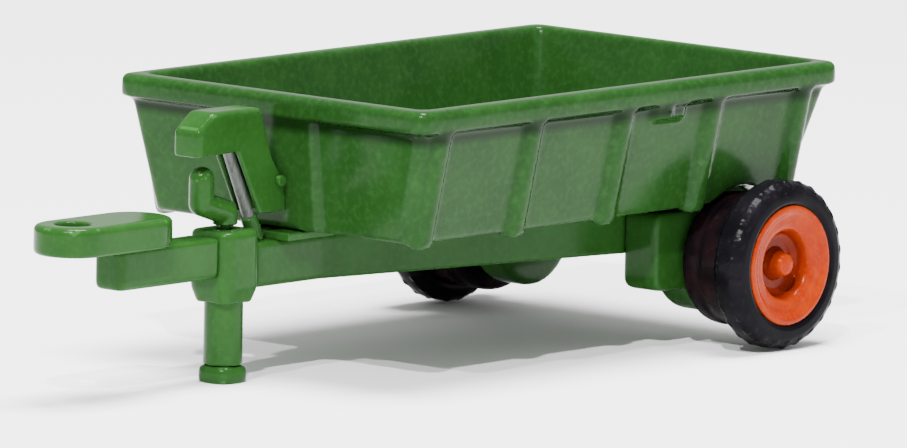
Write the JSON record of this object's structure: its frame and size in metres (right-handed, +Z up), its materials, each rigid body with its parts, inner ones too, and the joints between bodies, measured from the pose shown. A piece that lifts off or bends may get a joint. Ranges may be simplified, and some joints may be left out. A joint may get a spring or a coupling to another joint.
{
  "type": "miniature tipping farm trailer",
  "caption": "Die-cast miniature of a single-axle farm tipping trailer: open ribbed tub that tips rearward, A-frame drawbar with hitch ring, jack leg and two spinning wheels.",
  "frame": {"origin": "middle of the whole length and width, at ground level under the wheels and the jack foot", "axes": "+X forward to the hitch, +Y to the trailer's left, +Z up"},
  "size_m": [0.0548, 0.0276, 0.0162],
  "materials": {
    "green_paint": "glossy enamel over die-cast zinc",
    "steel": "dull drawn steel",
    "tyre_rubber": "shiny moulded black",
    "black_plastic": "gloss black",
    "orange_plastic": "gloss orange"
  },
  "bodies": {
    "chassis": {"chassis_frame": "green_paint", "axle_block_left": "green_paint", "axle_block_right": "green_paint", "hinge_lugs": "green_paint", "hinge_pin": "steel", "tub_rest_pads": "green_paint", "jack_collar": "green_paint", "drawbar_head": "green_paint", "hitch_ring_plate": "green_paint", "hitch_rivets": "green_paint", "ram_barrel": "green_paint", "ram_rod": "steel", "axle": "steel"},
    "tub_body": {"tub": "green_paint", "tub_hinge_ears": "green_paint", "hoist_hood": "green_paint", "hood_pin_heads": "green_paint"},
    "jack": {"jack_leg": "green_paint", "jack_foot": "green_paint"},
    "lever": {"locking_lever": "green_paint", "lever_stud": "green_paint"},
    "wheel_left": {"wheel_drum_left": "black_plastic", "tyre_left": "tyre_rubber", "wheel_hub_left": "orange_plastic", "hub_cap_left": "orange_plastic"},
    "wheel_right": {"wheel_drum_right": "black_plastic", "tyre_right": "tyre_rubber", "wheel_hub_right": "orange_plastic", "hub_cap_right": "orange_plastic"}
  },
  "joints": [
    {"name": "tub_tip", "type": "hinge", "parent": "chassis", "child": "tub_body", "pos_m": [-0.0235, 0, 0.0071], "axis": [0, -1, 0], "range_deg": [0, 45]},
    {"name": "jack_slide", "type": "slide", "parent": "chassis", "child": "jack", "axis": [0, 0, 1], "range_m": [0, 0.0022]},
    {"name": "lever_turn", "type": "hinge", "parent": "chassis", "child": "lever", "pos_m": [0.0126, 0, 0.00875], "axis": [0, 0, 1], "range_deg": [-50, 50]},
    {"name": "wheel_left_spin", "type": "hinge", "parent": "chassis", "child": "wheel_left", "pos_m": [-0.0209, 0.011, 0.005], "axis": [0, 1, 0], "continuous": true},
    {"name": "wheel_right_spin", "type": "hinge", "parent": "chassis", "child": "wheel_right", "pos_m": [-0.0209, -0.011, 0.005], "axis": [0, 1, 0], "continuous": true}
  ]
}
